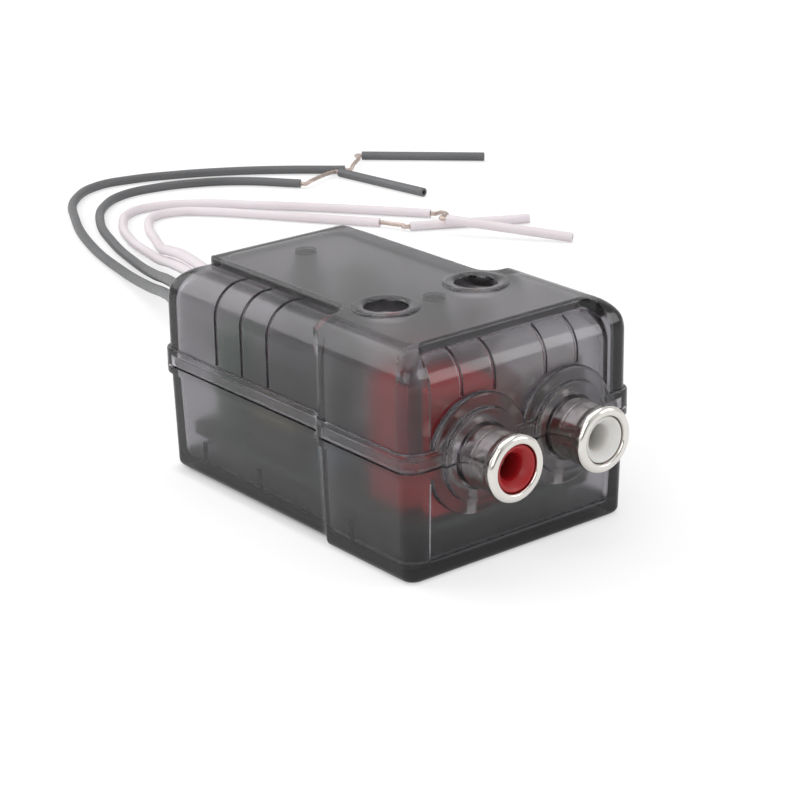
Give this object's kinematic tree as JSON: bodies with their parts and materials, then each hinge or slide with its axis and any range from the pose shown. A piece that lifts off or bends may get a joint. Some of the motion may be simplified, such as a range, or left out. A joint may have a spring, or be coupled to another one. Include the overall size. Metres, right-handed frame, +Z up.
{
  "type": "line output converter",
  "caption": "Speaker-level to line-level audio converter in a smoked moulded case, with phono jacks in front, screwdriver gain pots under the top and bare-ended leads behind.",
  "frame": {"origin": "centre of the tray's flat underside, where the case stands", "axes": "+Z up through the case, -Y out of the phono jacks, +Y out of the wire leads, X across the case with the red jack at -X"},
  "size_m": [0.1415, 0.1897, 0.0298],
  "materials": {
    "housing": "glossy, smoked and see-through",
    "board": "satin",
    "nickel": "polished",
    "steel": "satin",
    "contact_metal": "satin, tin plated",
    "copper": "bare",
    "red_plastic": "satin",
    "white_plastic": "satin",
    "pot_black": "matt",
    "shaft_grey": "matt",
    "lamination": "dull",
    "bobbin_black": "matt",
    "coil_tape": "satin tape over copper wire",
    "capacitor_sleeve": "satin",
    "resistor_body": "matt",
    "grey_insulation": "satin",
    "white_insulation": "satin"
  },
  "bodies": {
    "case": {"top_cover": "housing", "bottom_tray": "housing", "case_screw_front": "steel", "case_screw_rear": "steel", "circuit_board": "board", "left_jack_body": "red_plastic", "left_jack_shell": "nickel", "left_jack_contact": "contact_metal", "right_jack_body": "white_plastic", "right_jack_shell": "nickel", "right_jack_contact": "contact_metal", "left_gain_pot": "pot_black", "right_gain_pot": "pot_black", "left_transformer_core": "lamination", "left_transformer_bobbin": "bobbin_black", "left_transformer_coil": "coil_tape", "right_transformer_core": "lamination", "right_transformer_bobbin": "bobbin_black", "right_transformer_coil": "coil_tape", "left_capacitor": "capacitor_sleeve", "right_capacitor": "capacitor_sleeve", "left_resistor_front": "resistor_body", "left_resistor_rear": "resistor_body", "right_resistor_front": "resistor_body", "right_resistor_rear": "resistor_body", "grey_outer_lead": "grey_insulation", "grey_outer_strands": "copper", "grey_outer_slug": "grey_insulation", "grey_inner_lead": "grey_insulation", "grey_inner_strands": "copper", "grey_inner_slug": "grey_insulation", "white_outer_lead": "white_insulation", "white_outer_strands": "copper", "white_outer_slug": "white_insulation", "white_inner_lead": "white_insulation", "white_inner_strands": "copper", "white_inner_slug": "white_insulation"},
    "left_gain": {"left_gain_shaft": "shaft_grey"},
    "right_gain": {"right_gain_shaft": "shaft_grey"}
  },
  "joints": [
    {"name": "left_gain_turn", "type": "hinge", "parent": "case", "child": "left_gain", "pos_m": [-0.0074, -0.0094, 0.0252], "axis": [0, 0, 1], "range_deg": [-135, 135]},
    {"name": "right_gain_turn", "type": "hinge", "parent": "case", "child": "right_gain", "pos_m": [0.0074, -0.0094, 0.0252], "axis": [0, 0, 1], "range_deg": [-135, 135]}
  ]
}
